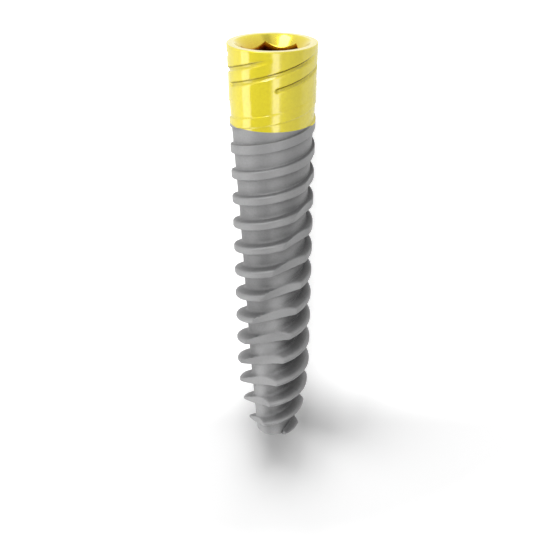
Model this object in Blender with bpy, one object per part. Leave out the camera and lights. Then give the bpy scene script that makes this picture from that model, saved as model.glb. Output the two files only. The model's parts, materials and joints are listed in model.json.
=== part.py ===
"""Tapered two-start screw implant for a tooth, turned from one bar of titanium.

The implant is modelled upright, as it is machined: the platform is at height 0 and
the apex points down. A turned blank is cut by two helical thread valleys, two
helical cutting flutes, five fine grooves round the collar and the stepped socket
for the abutment. A parent empty then lays it on its side, where it comes to rest.
All sizes are in metres.
"""

import math
from functools import partial

import bmesh
import bpy
from mathutils import Matrix, Vector

# Turned blank
PLATFORM_DIAMETER = 0.00320
TOTAL_LENGTH = 0.01600
RIM_CHAMFER = 0.00004
COLLAR_CONE_LENGTH = 0.00125
COLLAR_CONE_END_DIAMETER = 0.003114
NOSE_LENGTH = 0.00360
NOSE_START_DIAMETER = 0.00286
NOSE_END_DIAMETER = 0.00190
NOSE_POWER = 1.75
APEX_EDGE_RADIUS = 0.00060

# Core left between the thread ridges: depth and diameter of each turned station
CORE_NECK_DEPTH = 0.00200
CORE_NECK_DIAMETER = 0.00306
CORE_WAIST_DEPTH = 0.00620
CORE_WAIST_DIAMETER = 0.00248
CORE_TIP_LENGTH = 0.00380
CORE_LOWER_DIAMETER = 0.00187
CORE_TIP_DIAMETER = 0.00138
CORE_TIP_EDGE_RADIUS = 0.00016

# Thread, right-handed, with crests of the two starts alternating down the body
THREAD_STARTS = 2
CREST_SPACING = 0.0009784
FIRST_CREST_DEPTH = 0.003816
FIRST_CREST_AZIMUTH = 180.0
CREST_LAND_AT_TOP = 0.00037
CREST_LAND_AT_TIP = 0.00010
UPPER_FLANK_ANGLE = 18.0
LOWER_FLANK_ANGLE = 12.0
THREAD_END_DEPTH = 0.01586
THREAD_END_RATE = 8.0

# Cutting flutes, milled along a steep helix
FLUTE_COUNT = 2
FLUTE_CUTTER_RADIUS = 0.00240
FLUTE_LEAD = 0.02880
FLUTE_REFERENCE_DEPTH = 0.00800
FLUTE_REFERENCE_AZIMUTH = 300.0
FLUTE_START_DEPTH = 0.00400
FLUTE_START_FLOOR_DIAMETER = 0.00304
FLUTE_FULL_DEPTH = 0.00920
FLUTE_FULL_FLOOR_DIAMETER = 0.00230
FLUTE_TIP_FLOOR_DIAMETER = 0.00146

# Fine helical grooves round the collar
COLLAR_GROOVE_COUNT = 5
COLLAR_GROOVE_LEAD = 0.00275
COLLAR_GROOVE_LOW_DEPTH = 0.00133
COLLAR_GROOVE_HIGH_DEPTH = 0.00028
COLLAR_GROOVE_LOW_AZIMUTH = 277.0
COLLAR_GROOVE_CUT = 0.00005
COLLAR_GROOVE_WIDTH = 0.00018
COLLAR_GROOVE_FLOOR = 0.00005

# Socket for the abutment: lead-in bevel, hexagon, screw bore with a drill point
BEVEL_DIAMETER = 0.00268
BEVEL_HALF_ANGLE = 39.0
HEX_ACROSS_FLATS = 0.00200
HEX_CORNER_AZIMUTH = 43.0
HEX_DEPTH = 0.00260
BORE_DIAMETER = 0.00150
BORE_DEPTH = 0.00700
DRILL_POINT_ANGLE = 118.0

# The anodised zone ends at this depth, on the first valley of the thread
ANODISED_DEPTH = 0.00280

# How finely the faces follow the round forms
SEGMENTS_PER_TURN = 36
NOSE_STATIONS = 6
EDGE_ARC_STEPS = 4
FLUTE_STATION_SPACING = 0.00060
FLUTE_ARC_STEPS = 6
FLUTE_ARC_HALF_ANGLE = 40.0
GROOVE_RUN_OUT_SEGMENTS = 3
SHARP_EDGE_ANGLE = 30.0

# How far a cutter reaches out of the metal
CUTTER_OVERLAP = 0.00006

PLATFORM_RADIUS = PLATFORM_DIAMETER / 2
NOSE_START_DEPTH = TOTAL_LENGTH - NOSE_LENGTH
CORE_LOWER_DEPTH = TOTAL_LENGTH - CORE_TIP_LENGTH
THREAD_LEAD = THREAD_STARTS * CREST_SPACING
SEGMENT_ANGLE = 2 * math.pi / SEGMENTS_PER_TURN


def between(value, start, end, start_result, end_result):
    """Straight line through two points, read at value."""
    share = (value - start) / (end - start)
    return start_result + share * (end_result - start_result)


def crest_radius(depth):
    """Radius of the turned blank below the collar cone, which is also the thread's crest."""
    start = NOSE_START_DIAMETER / 2
    if depth <= NOSE_START_DEPTH:
        return between(depth, COLLAR_CONE_LENGTH, NOSE_START_DEPTH, COLLAR_CONE_END_DIAMETER / 2, start)
    share = min((depth - NOSE_START_DEPTH) / (TOTAL_LENGTH - NOSE_START_DEPTH), 1.0)
    return start - (start - NOSE_END_DIAMETER / 2) * share ** NOSE_POWER


def collar_radius(depth):
    """Radius of the collar cone, down to where the thread's crest takes over."""
    return between(depth, 0.0, COLLAR_CONE_LENGTH, PLATFORM_RADIUS, COLLAR_CONE_END_DIAMETER / 2)


def core_radius(depth):
    """Radius of the thread's root: three tapers and a rounded tip."""
    tip_start = TOTAL_LENGTH - CORE_TIP_EDGE_RADIUS
    if depth <= CORE_WAIST_DEPTH:
        return between(
            depth, CORE_NECK_DEPTH, CORE_WAIST_DEPTH, CORE_NECK_DIAMETER / 2, CORE_WAIST_DIAMETER / 2)
    if depth <= CORE_LOWER_DEPTH:
        return between(
            depth, CORE_WAIST_DEPTH, CORE_LOWER_DEPTH, CORE_WAIST_DIAMETER / 2, CORE_LOWER_DIAMETER / 2)
    cone = between(
        min(depth, tip_start), CORE_LOWER_DEPTH, tip_start, CORE_LOWER_DIAMETER / 2, CORE_TIP_DIAMETER / 2)
    past = min(max(depth - tip_start, 0.0), CORE_TIP_EDGE_RADIUS)
    return cone - CORE_TIP_EDGE_RADIUS + math.sqrt(CORE_TIP_EDGE_RADIUS ** 2 - past ** 2)


def flute_floor_radius(depth):
    """Distance from the axis to the floor of a flute, in two straight runs."""
    if depth <= FLUTE_FULL_DEPTH:
        return between(depth, FLUTE_START_DEPTH, FLUTE_FULL_DEPTH,
                       FLUTE_START_FLOOR_DIAMETER / 2, FLUTE_FULL_FLOOR_DIAMETER / 2)
    return between(depth, FLUTE_FULL_DEPTH, TOTAL_LENGTH,
                   FLUTE_FULL_FLOOR_DIAMETER / 2, FLUTE_TIP_FLOOR_DIAMETER / 2)


def crest_land(depth):
    """Width of the flat top of the thread ridge, narrower towards the apex."""
    return between(depth, COLLAR_CONE_LENGTH, TOTAL_LENGTH, CREST_LAND_AT_TOP, CREST_LAND_AT_TIP)


def polar(radius, azimuth, depth):
    """Point at a radius and azimuth (radians), below the platform by depth."""
    return Vector((radius * math.cos(azimuth), radius * math.sin(azimuth), -depth))


def loft(mesh, rings):
    """Closed body through rings of equal length: quads between them and a cap at each end."""
    layers = [[mesh.verts.new(point) for point in ring] for ring in rings]
    for upper, lower in zip(layers, layers[1:]):
        for index, corner in enumerate(upper):
            following = (index + 1) % len(upper)
            mesh.faces.new((corner, upper[following], lower[following], lower[index]))
    mesh.faces.new(reversed(layers[0]))
    mesh.faces.new(layers[-1])


def revolve(mesh, outline, phase=0.0):
    """Closed turned body from (radius, depth) points, whose first and last lie off the axis."""
    turns = [phase + step * SEGMENT_ANGLE for step in range(SEGMENTS_PER_TURN)]
    loft(mesh, [[polar(radius, turn, depth) for turn in turns] for radius, depth in outline])


def make_object(name, build):
    """Object with a mesh filled by build, its faces turned outwards."""
    mesh = bmesh.new()
    build(mesh)
    bmesh.ops.recalc_face_normals(mesh, faces=mesh.faces)
    data = bpy.data.meshes.new(name)
    mesh.to_mesh(data)
    mesh.free()
    piece = bpy.data.objects.new(name, data)
    bpy.context.scene.collection.objects.link(piece)
    return piece


def build_blank(mesh):
    """Turned blank: chamfered rim, collar cone, thread cone, curved nose and rounded apex."""
    outline = [(PLATFORM_RADIUS - RIM_CHAMFER, 0.0), (PLATFORM_RADIUS, RIM_CHAMFER),
               (COLLAR_CONE_END_DIAMETER / 2, COLLAR_CONE_LENGTH)]
    nose_end = TOTAL_LENGTH - APEX_EDGE_RADIUS
    for station in range(NOSE_STATIONS + 1):
        depth = between(station, 0, NOSE_STATIONS, NOSE_START_DEPTH, nose_end)
        outline.append((crest_radius(depth), depth))
    arc_centre = crest_radius(nose_end) - APEX_EDGE_RADIUS
    for step in range(1, EDGE_ARC_STEPS + 1):
        angle = math.radians(90.0) * step / EDGE_ARC_STEPS
        outline.append((arc_centre + APEX_EDGE_RADIUS * math.cos(angle),
                        nose_end + APEX_EDGE_RADIUS * math.sin(angle)))
    revolve(mesh, outline)


def build_thread_valley(mesh, start):
    """Swept cutter of one start, with its floor on the core and its sides on the flanks.

    Past the thread's end it reaches down to the apex, so that the last ridge runs out.
    """
    lower_slope = math.tan(math.radians(LOWER_FLANK_ANGLE))
    upper_slope = math.tan(math.radians(UPPER_FLANK_ANGLE))
    first_azimuth = math.radians(FIRST_CREST_AZIMUTH + 360.0 * start / THREAD_STARTS) + SEGMENT_ANGLE / 2
    top_step = -math.ceil((FIRST_CREST_DEPTH - COLLAR_CONE_LENGTH) / THREAD_LEAD * SEGMENTS_PER_TURN)
    last_step = math.ceil((TOTAL_LENGTH - FIRST_CREST_DEPTH + CREST_SPACING) / THREAD_LEAD * SEGMENTS_PER_TURN)
    rings = []
    for step in range(top_step, last_step + 1):
        azimuth = first_azimuth - step * SEGMENT_ANGLE
        crest_above = FIRST_CREST_DEPTH + (step + 0.5) * THREAD_LEAD / SEGMENTS_PER_TURN - CREST_SPACING
        crest_below = crest_above + CREST_SPACING
        past_end = max(crest_below - THREAD_END_DEPTH, 0.0)
        crest_below = min(crest_below + THREAD_END_RATE * past_end, TOTAL_LENGTH + CREST_SPACING / 2)
        upper_edge = crest_above + crest_land(crest_above) / 2
        lower_edge = crest_below - crest_land(crest_below) / 2
        upper_cut = crest_radius(upper_edge) - core_radius(upper_edge)
        lower_cut = crest_radius(lower_edge) - core_radius(lower_edge)
        upper_root = upper_edge + upper_cut * lower_slope
        lower_root = lower_edge - lower_cut * upper_slope
        reach = CUTTER_OVERLAP + max(-upper_cut, -lower_cut, 0.0)
        rings.append([
            polar(core_radius(upper_root), azimuth, upper_root),
            polar(core_radius(lower_root), azimuth, lower_root),
            polar(crest_radius(lower_edge) + reach, azimuth, lower_edge + reach * upper_slope),
            polar(crest_radius(upper_edge) + reach, azimuth, upper_edge - reach * lower_slope),
        ])
    loft(mesh, rings)


def build_flutes(mesh):
    """Wide, gently hollow flutes that deepen towards the apex and turn with the thread."""
    arc = [math.radians(between(step, 0, FLUTE_ARC_STEPS, FLUTE_ARC_HALF_ANGLE, -FLUTE_ARC_HALF_ANGLE))
           for step in range(FLUTE_ARC_STEPS + 1)]
    last_depth = TOTAL_LENGTH + FLUTE_STATION_SPACING
    stations = math.ceil((last_depth - FLUTE_START_DEPTH) / FLUTE_STATION_SPACING)
    for flute in range(FLUTE_COUNT):
        rings = []
        for station in range(stations + 1):
            depth = between(station, 0, stations, FLUTE_START_DEPTH, last_depth)
            turn = (FLUTE_REFERENCE_DEPTH - depth) / FLUTE_LEAD + flute / FLUTE_COUNT
            azimuth = math.radians(FLUTE_REFERENCE_AZIMUTH) + turn * 2 * math.pi
            centre = flute_floor_radius(depth) + FLUTE_CUTTER_RADIUS
            away = Vector((math.cos(azimuth), math.sin(azimuth), 0.0))
            aside = Vector((-away.y, away.x, 0.0))
            middle = away * centre - Vector((0.0, 0.0, depth))
            rings.append([
                middle + FLUTE_CUTTER_RADIUS * (aside * math.sin(angle) - away * math.cos(angle))
                for angle in arc])
        loft(mesh, rings)


def build_collar_grooves(mesh):
    """Shallow helical grooves: a blunt lower end, and a run-out towards the rim."""
    turn_length = (COLLAR_GROOVE_LOW_DEPTH - COLLAR_GROOVE_HIGH_DEPTH) / COLLAR_GROOVE_LEAD
    steps = math.ceil(turn_length * SEGMENTS_PER_TURN)
    side_slope = (COLLAR_GROOVE_WIDTH - COLLAR_GROOVE_FLOOR) / 2 / COLLAR_GROOVE_CUT
    outer_half = COLLAR_GROOVE_WIDTH / 2 + CUTTER_OVERLAP * side_slope
    for groove in range(COLLAR_GROOVE_COUNT):
        start = math.radians(COLLAR_GROOVE_LOW_AZIMUTH) + groove * 2 * math.pi / COLLAR_GROOVE_COUNT
        rings = []
        for step in range(steps + 1):
            depth = between(step, 0, steps, COLLAR_GROOVE_LOW_DEPTH, COLLAR_GROOVE_HIGH_DEPTH)
            azimuth = start + turn_length * 2 * math.pi * step / steps
            to_end = (steps - step) / GROOVE_RUN_OUT_SEGMENTS
            lift = (COLLAR_GROOVE_CUT + CUTTER_OVERLAP / 2) * max(1.0 - to_end, 0.0)
            floor = max(collar_radius(depth), crest_radius(depth)) - COLLAR_GROOVE_CUT + lift
            outside = floor + COLLAR_GROOVE_CUT + CUTTER_OVERLAP
            rings.append([
                polar(floor, azimuth, depth + COLLAR_GROOVE_FLOOR / 2),
                polar(outside, azimuth, depth + outer_half),
                polar(outside, azimuth, depth - outer_half),
                polar(floor, azimuth, depth - COLLAR_GROOVE_FLOOR / 2),
            ])
        loft(mesh, rings)


def build_bevel(mesh):
    """Lead-in cone that guides the abutment into the hexagon."""
    slope = math.tan(math.radians(BEVEL_HALF_ANGLE))
    cone_end = HEX_ACROSS_FLATS / 2 - CUTTER_OVERLAP
    depth = (BEVEL_DIAMETER / 2 - cone_end) / slope
    revolve(mesh, [(BEVEL_DIAMETER / 2 + CUTTER_OVERLAP * slope, -CUTTER_OVERLAP), (cone_end, depth)])


def build_hexagon(mesh):
    """Six-sided drive socket."""
    corner = HEX_ACROSS_FLATS / 2 / math.cos(math.radians(30.0))
    turns = [math.radians(HEX_CORNER_AZIMUTH + 60.0 * side) for side in range(6)]
    loft(mesh, [[polar(corner, turn, depth) for turn in turns] for depth in (-CUTTER_OVERLAP, HEX_DEPTH)])


def build_bore(mesh):
    """Bore for the abutment screw, from inside the hexagon to its drill point."""
    point_depth = BORE_DIAMETER / 2 / math.tan(math.radians(DRILL_POINT_ANGLE / 2))
    point_flat = CUTTER_OVERLAP / 2
    revolve(mesh, [(BORE_DIAMETER / 2, HEX_DEPTH - BORE_DIAMETER / 2), (BORE_DIAMETER / 2, BORE_DEPTH),
                   (point_flat, BORE_DEPTH + point_depth - point_flat)])


def cut(piece, name, build):
    """Take the shape made by build away from the piece."""
    cutter = make_object(name, build)
    modifier = piece.modifiers.new(name, "BOOLEAN")
    modifier.operation = "DIFFERENCE"
    modifier.solver = "EXACT"
    modifier.object = cutter
    carved = bpy.data.meshes.new_from_object(piece.evaluated_get(bpy.context.evaluated_depsgraph_get()))
    piece.modifiers.remove(modifier)
    bpy.data.objects.remove(cutter)
    piece.data = carved


def split_finishes(piece):
    """Part the surface at the anodised limit: first material above it, second below."""
    mesh = bmesh.new()
    mesh.from_mesh(piece.data)
    limit = Vector((0.0, 0.0, -ANODISED_DEPTH))
    bmesh.ops.bisect_plane(mesh, geom=mesh.verts[:] + mesh.edges[:] + mesh.faces[:], dist=1e-7,
                           plane_co=limit, plane_no=(0.0, 0.0, 1.0))
    for face in mesh.faces:
        face.material_index = 0 if face.calc_center_median().z > limit.z else 1
    mesh.to_mesh(piece.data)
    mesh.free()


def metal(name, colour, roughness):
    """Metallic Principled material."""
    material = bpy.data.materials.new(name)
    material.use_nodes = True
    shader = material.node_tree.nodes["Principled BSDF"]
    shader.inputs["Base Color"].default_value = (*colour, 1.0)
    shader.inputs["Metallic"].default_value = 1.0
    shader.inputs["Roughness"].default_value = roughness
    material.diffuse_color = (*colour, 1.0)
    return material


def lay_down(piece):
    """Parent the implant to an empty that lays it on the rim and the lower thread crests."""
    lean = math.atan2(PLATFORM_RADIUS - NOSE_START_DIAMETER / 2, NOSE_START_DEPTH)
    rest = bpy.data.objects.new("rest_pose", None)
    bpy.context.scene.collection.objects.link(rest)
    piece.parent = rest
    turned = Matrix.Rotation(lean - math.pi / 2, 4, "X")
    corners = [turned @ vertex.co for vertex in piece.data.vertices]
    lows, highs = ([pick(corner[axis] for corner in corners) for axis in range(3)] for pick in (min, max))
    rest.matrix_world = Matrix.Translation(
        (-(lows[0] + highs[0]) / 2, -(lows[1] + highs[1]) / 2, -lows[2])) @ turned


def build_implant():
    """The whole implant: one turned and milled solid, its collar anodised and its body blasted."""
    implant = make_object("implant", build_blank)
    for start in range(THREAD_STARTS):
        cut(implant, f"thread_valley_{start + 1}", partial(build_thread_valley, start=start))
    cut(implant, "cutting_flutes", build_flutes)
    cut(implant, "collar_grooves", build_collar_grooves)
    cut(implant, "bevel", build_bevel)
    cut(implant, "hexagon", build_hexagon)
    cut(implant, "bore", build_bore)
    implant.data.materials.clear()
    implant.data.materials.append(metal("gold_anodised_titanium", (0.78, 0.60, 0.11), 0.28))
    implant.data.materials.append(metal("blasted_titanium", (0.42, 0.42, 0.43), 0.55))
    split_finishes(implant)
    implant.data.shade_smooth()
    implant.data.set_sharp_from_angle(angle=math.radians(SHARP_EDGE_ANGLE))
    return implant


def main():
    for old in list(bpy.data.objects):
        bpy.data.objects.remove(old)
    lay_down(build_implant())


main()
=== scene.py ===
"""The looks of a tapered two-start screw implant: gold anodised collar, grey blasted thread.

The outer surface is one radius for each azimuth and depth below the platform. The collar,
the threaded body and the socket are three meshes that meet on shared rings.
"""

import json
import math

import bmesh
import bpy
import numpy as np
from bpy.props import FloatProperty, FloatVectorProperty, IntProperty, PointerProperty
from mathutils import Matrix, Vector


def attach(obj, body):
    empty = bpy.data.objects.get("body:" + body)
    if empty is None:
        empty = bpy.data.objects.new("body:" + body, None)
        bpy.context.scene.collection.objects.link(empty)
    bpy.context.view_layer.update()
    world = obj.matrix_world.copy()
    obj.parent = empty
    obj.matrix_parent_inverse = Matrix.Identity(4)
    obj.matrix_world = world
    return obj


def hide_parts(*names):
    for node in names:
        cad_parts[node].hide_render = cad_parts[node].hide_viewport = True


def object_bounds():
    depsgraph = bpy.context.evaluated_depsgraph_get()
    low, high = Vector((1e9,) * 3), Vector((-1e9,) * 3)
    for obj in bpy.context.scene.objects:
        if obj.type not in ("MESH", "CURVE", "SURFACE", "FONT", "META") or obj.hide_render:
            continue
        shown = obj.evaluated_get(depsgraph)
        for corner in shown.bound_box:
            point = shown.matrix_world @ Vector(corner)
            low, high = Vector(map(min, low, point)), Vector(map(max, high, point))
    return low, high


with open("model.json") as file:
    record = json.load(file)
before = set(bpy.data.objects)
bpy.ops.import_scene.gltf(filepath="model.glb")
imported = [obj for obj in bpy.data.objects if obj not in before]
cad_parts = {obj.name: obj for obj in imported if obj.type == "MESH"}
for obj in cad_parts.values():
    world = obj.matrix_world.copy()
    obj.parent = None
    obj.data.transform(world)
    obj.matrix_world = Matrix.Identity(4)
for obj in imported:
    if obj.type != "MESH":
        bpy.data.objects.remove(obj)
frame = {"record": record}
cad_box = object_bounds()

bl_info = {
    "name": "Screw Implant",
    "version": (1, 0, 0),
    "blender": (4, 5, 0),
    "location": "3D View > Sidebar > Implant",
    "description": "Builds the fine surface of a screw implant and the stage it lies on",
    "category": "Mesh",
}

# Turned outline, the same as the solid's: metres, depths measured from the platform
PLATFORM_RADIUS = 0.00160
TOTAL_LENGTH = 0.01600
COLLAR_CONE_LENGTH = 0.00125
COLLAR_CONE_END_RADIUS = 0.001557
NOSE_LENGTH = 0.00360
NOSE_START_RADIUS = 0.00143
NOSE_END_RADIUS = 0.00095
NOSE_POWER = 1.75
APEX_EDGE_RADIUS = 0.00060
CORE_NECK_DEPTH = 0.00200
CORE_NECK_RADIUS = 0.00153
CORE_WAIST_DEPTH = 0.00620
CORE_WAIST_RADIUS = 0.00124
CORE_TIP_LENGTH = 0.00380
CORE_LOWER_RADIUS = 0.000935
CORE_TIP_RADIUS = 0.00069
CORE_TIP_EDGE_RADIUS = 0.00016

# Thread
THREAD_STARTS = 2
CREST_SPACING = 0.0009784
FIRST_CREST_DEPTH = 0.003816
FIRST_CREST_AZIMUTH = math.radians(180.0)
CREST_LAND_AT_TOP = 0.00037
CREST_LAND_AT_TIP = 0.00010
UPPER_FLANK_SLOPE = math.tan(math.radians(18.0))
LOWER_FLANK_SLOPE = math.tan(math.radians(12.0))
THREAD_END_DEPTH = 0.01586
THREAD_END_RATE = 8.0

# Flutes
FLUTE_COUNT = 2
FLUTE_CUTTER_RADIUS = 0.00240
FLUTE_LEAD = 0.02880
FLUTE_REFERENCE_DEPTH = 0.00800
FLUTE_REFERENCE_AZIMUTH = math.radians(300.0)
FLUTE_START_DEPTH = 0.00400
FLUTE_START_FLOOR = 0.00152
FLUTE_FULL_DEPTH = 0.00920
FLUTE_FULL_FLOOR = 0.00115
FLUTE_TIP_FLOOR = 0.00073

# Grooves round the collar
GROOVE_COUNT = 5
GROOVE_LEAD = 0.00275
GROOVE_LOW_DEPTH = 0.00133
GROOVE_HIGH_DEPTH = 0.00028
GROOVE_LOW_AZIMUTH = math.radians(277.0)

# Socket
BEVEL_RADIUS = 0.00134
BEVEL_SLOPE = math.tan(math.radians(39.0))
HEX_APOTHEM = 0.00100
HEX_CORNER_AZIMUTH = math.radians(43.0)
HEX_DEPTH = 0.00260
BORE_RADIUS = 0.00075
BORE_DEPTH = 0.00700
DRILL_POINT_SLOPE = math.tan(math.radians(59.0))
RIM_CHAMFER = 0.00004

# The colour limit is a plane, and the apex cap starts at a ring just above the apex
ANODISED_DEPTH = 0.00280
APEX_RING_DEPTH = 0.01580

# Roundings of the thread as shares of its height, where that is less than the set rounding
CREST_EDGE_SHARE = 0.4
ROOT_SHARE = 0.5
LEAST_ROUNDING = 1e-7

# Each groove is looked for this far before its low end, and fades out over this turn at the rim
GROOVE_SEARCH_TURN = math.pi / 4
GROOVE_FADE_TURN = math.radians(25.0)

# Socket's details: drops of the bevel's two edges as shares of their rounding, hexagon's floor, bore
BEVEL_EDGE_DROP = 0.6
MOUTH_EDGE_DROP = 0.7
HEX_FLOOR_SLOPE = 0.15
PLAIN_BORE_LENGTH = 0.00020
BORE_RINGS_A_TURN = 8
BORE_RIDGE_STEEPNESS = 1.6
BORE_RIDGE_ROOT = 0.3
DRILL_RING_SHARE = 0.3

# Mesh: points nearer than this are merged, and edges sharper than these angles stay sharp
MERGE_DISTANCE = 1e-7
BODY_CREASE = math.radians(50.0)
COLLAR_CREASE = math.radians(60.0)
SOCKET_CREASE = math.radians(35.0)

# Materials: ranges over which a mask goes from none to full. Openness is 1 in the open. The hollow,
# apex-facing wall and side masks paint shade into the colour, and the open-crest mask paints a highlight.
COARSE_GRAIN_SCALE = 0.22
SPECKLE_HEIGHT = (0.35, 0.68)
OPENNESS_SAMPLES = 8
PAINTED_SHADE_FULL_OPENNESS = 0.36
PAINTED_HIGHLIGHT_OPENNESS = (0.90, 0.99)
PAINTED_UNDERSIDE_OPENNESS = (0.96, 0.84)
PAINTED_UNDERSIDE_FACING = (-0.15, -0.6)
PAINTED_SHADE_SIDE_FACING = (0.0, 0.55)
ROUGHNESS_SPREAD = 0.12
FLOOR_ROUGHNESS = 0.9

# Photograph's view: pixels in its 560 by 560 frame, and the platform radius as the unit of length
PHOTO_SIZE = 560
FOCAL_PIXELS = 988.0
CAMERA_PITCH = math.radians(26.077)
CAMERA_DISTANCE = 23.886
CAMERA_SIDE = 0.1666
CAMERA_AIM_HEIGHT = -5.737
SENSOR_WIDTH = 36.0

# Bent cards over the implant: name of the card and its brightness setting, and its first and last
# angle from the right horizon in degrees.
BENT_CARDS = (
    ("right_card", 8.0, 66.0),
    ("left_card", 94.0, 150.0),
)
BENT_CARD_RADIUS = 0.05
BENT_CARD_ENDS = (-0.20, 0.06)
BENT_CARD_STEPS = 24

# Cards that the bevel reflects: name, direction from the platform, distance, width, height, strength.
PLATFORM_CARDS = (
    ("dark_card", (0.18, 0.780, 0.560), 0.05, 0.016, 0.060, 0.62),
    ("bright_card", (-0.42, 0.756, 0.50), 0.05, 0.020, 0.050, 5.5),
)

# Lamps: name, direction from the implant, distance, length along the implant, width, watts.
# The first two show in the metal alone, the others light the floor and throw the shadow.
REFLECTED_LAMPS = (
    ("left_lamp", (-0.82, -0.42, 0.39), 0.06, 0.10, 0.044, 0.021),
    ("strip_lamp", (0.150, -0.44, 0.886), 0.06, 0.10, 0.018, 0.0105),
)
FLOOR_LAMPS = (
    ("right_end_lamp", (0.159, 0.900, 0.407), 0.60, 0.21, 0.21, 3.20),
    ("left_end_lamp", (-0.159, 0.900, 0.407), 0.60, 0.21, 0.21, 3.88),
    ("corner_lamp", (-0.457, 0.791, 0.407), 0.60, 0.21, 0.21, 1.25),
    ("side_lamp", (-0.791, 0.457, 0.407), 0.60, 0.21, 0.21, 2.89),
)

NOSE_START_DEPTH = TOTAL_LENGTH - NOSE_LENGTH
CORE_LOWER_DEPTH = TOTAL_LENGTH - CORE_TIP_LENGTH
THREAD_LEAD = THREAD_STARTS * CREST_SPACING
FULL_TURN = 2.0 * math.pi


def implant_pose():
    """Matrix from the upright implant, platform at the origin, to where the solid lies."""
    mount = next(mount for mount in frame["record"]["mounts"] if mount["name"] == "platform")
    along = Vector(mount["axis"]).normalized()
    side = Vector((1.0, 0.0, 0.0))
    down = along.cross(side)
    rim_middle = (BEVEL_RADIUS + PLATFORM_RADIUS - RIM_CHAMFER) / 2
    centre = Vector(mount["pos_m"]) + down * rim_middle
    return Matrix.Translation(centre) @ Matrix((side, down, along)).transposed().to_4x4()


POSE = implant_pose()


def soft_min(first, second, blend):
    """Smaller of the two, rounded over where they are closer than blend."""
    overlap = np.maximum(blend - np.abs(first - second), 0.0)
    return np.minimum(first, second) - overlap ** 2 / (4.0 * blend)


def soft_max(first, second, blend):
    """Larger of the two, rounded over where they are closer than blend."""
    return -soft_min(-first, -second, blend)


def crest_radius(depth):
    """Radius of the turned blank: collar cone, thread cone, curved nose and rounded apex."""
    collar = np.interp(depth, (0.0, COLLAR_CONE_LENGTH), (PLATFORM_RADIUS, COLLAR_CONE_END_RADIUS))
    cone = np.interp(depth, (COLLAR_CONE_LENGTH, NOSE_START_DEPTH),
                     (COLLAR_CONE_END_RADIUS, NOSE_START_RADIUS))
    nose_end = TOTAL_LENGTH - APEX_EDGE_RADIUS
    share = np.clip((np.minimum(depth, nose_end) - NOSE_START_DEPTH) / NOSE_LENGTH, 0.0, 1.0)
    nose = (NOSE_START_RADIUS - NOSE_END_RADIUS) * share ** NOSE_POWER
    past = np.clip(depth - nose_end, 0.0, APEX_EDGE_RADIUS)
    apex = APEX_EDGE_RADIUS - np.sqrt(APEX_EDGE_RADIUS ** 2 - past ** 2)
    return np.where(depth < COLLAR_CONE_LENGTH, collar, cone - nose - apex)


def core_radius(depth):
    """Radius of the thread's root: three tapers and a rounded tip."""
    tip_start = TOTAL_LENGTH - CORE_TIP_EDGE_RADIUS
    neck_slope = (CORE_WAIST_RADIUS - CORE_NECK_RADIUS) / (CORE_WAIST_DEPTH - CORE_NECK_DEPTH)
    upper = CORE_NECK_RADIUS + (depth - CORE_NECK_DEPTH) * neck_slope
    lower = np.interp(depth, (CORE_WAIST_DEPTH, CORE_LOWER_DEPTH, tip_start),
                      (CORE_WAIST_RADIUS, CORE_LOWER_RADIUS, CORE_TIP_RADIUS))
    past = np.clip(depth - tip_start, 0.0, CORE_TIP_EDGE_RADIUS)
    tip = CORE_TIP_EDGE_RADIUS - np.sqrt(CORE_TIP_EDGE_RADIUS ** 2 - past ** 2)
    return np.where(depth < CORE_WAIST_DEPTH, upper, lower) - tip


def crest_land(depth):
    """Width of the flat top of the thread ridge."""
    return np.interp(depth, (COLLAR_CONE_LENGTH, TOTAL_LENGTH), (CREST_LAND_AT_TOP, CREST_LAND_AT_TIP))


def crest_depth(number, azimuth):
    """Depth of a crest's middle, counted from the first, at an azimuth."""
    turned = (azimuth - FIRST_CREST_AZIMUTH) / FULL_TURN
    return FIRST_CREST_DEPTH + number * CREST_SPACING - turned * THREAD_LEAD


def valley_edges(crest_above):
    """Depths of a valley's upper edge, upper root, lower root and lower edge."""
    crest_below = crest_above + CREST_SPACING
    past_end = np.maximum(crest_below - THREAD_END_DEPTH, 0.0)
    crest_below = np.minimum(crest_below + THREAD_END_RATE * past_end, TOTAL_LENGTH + CREST_SPACING / 2)
    upper_edge = crest_above + crest_land(crest_above) / 2
    lower_edge = crest_below - crest_land(crest_below) / 2
    upper_cut = np.maximum(crest_radius(upper_edge) - core_radius(upper_edge), 0.0)
    lower_cut = np.maximum(crest_radius(lower_edge) - core_radius(lower_edge), 0.0)
    return (upper_edge, upper_edge + upper_cut * LOWER_FLANK_SLOPE,
            lower_edge - lower_cut * UPPER_FLANK_SLOPE, lower_edge)


def valley_radius(depth, crest_above, root_rounding):
    """Radius that one valley's floor and flanks allow."""
    upper_edge, _, _, lower_edge = valley_edges(crest_above)
    flank = np.maximum(crest_radius(upper_edge) - (depth - upper_edge) / LOWER_FLANK_SLOPE,
                       crest_radius(lower_edge) - (lower_edge - depth) / UPPER_FLANK_SLOPE)
    return soft_max(core_radius(depth), flank, root_rounding)


def thread_radius(azimuth, depth, crest_rounding, root_rounding):
    """Radius of the thread before the flutes."""
    crest = crest_radius(depth)
    cut = np.maximum(crest - core_radius(depth), 0.0)
    edge = np.clip(cut * CREST_EDGE_SHARE, LEAST_ROUNDING, crest_rounding)
    root = np.clip(cut * ROOT_SHARE, LEAST_ROUNDING, root_rounding)
    number = np.floor((depth - crest_depth(0, azimuth)) / CREST_SPACING)
    radius = crest
    for valley in (number, number - 1):
        radius = soft_min(radius, valley_radius(depth, crest_depth(valley, azimuth), root), edge)
    return radius


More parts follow.
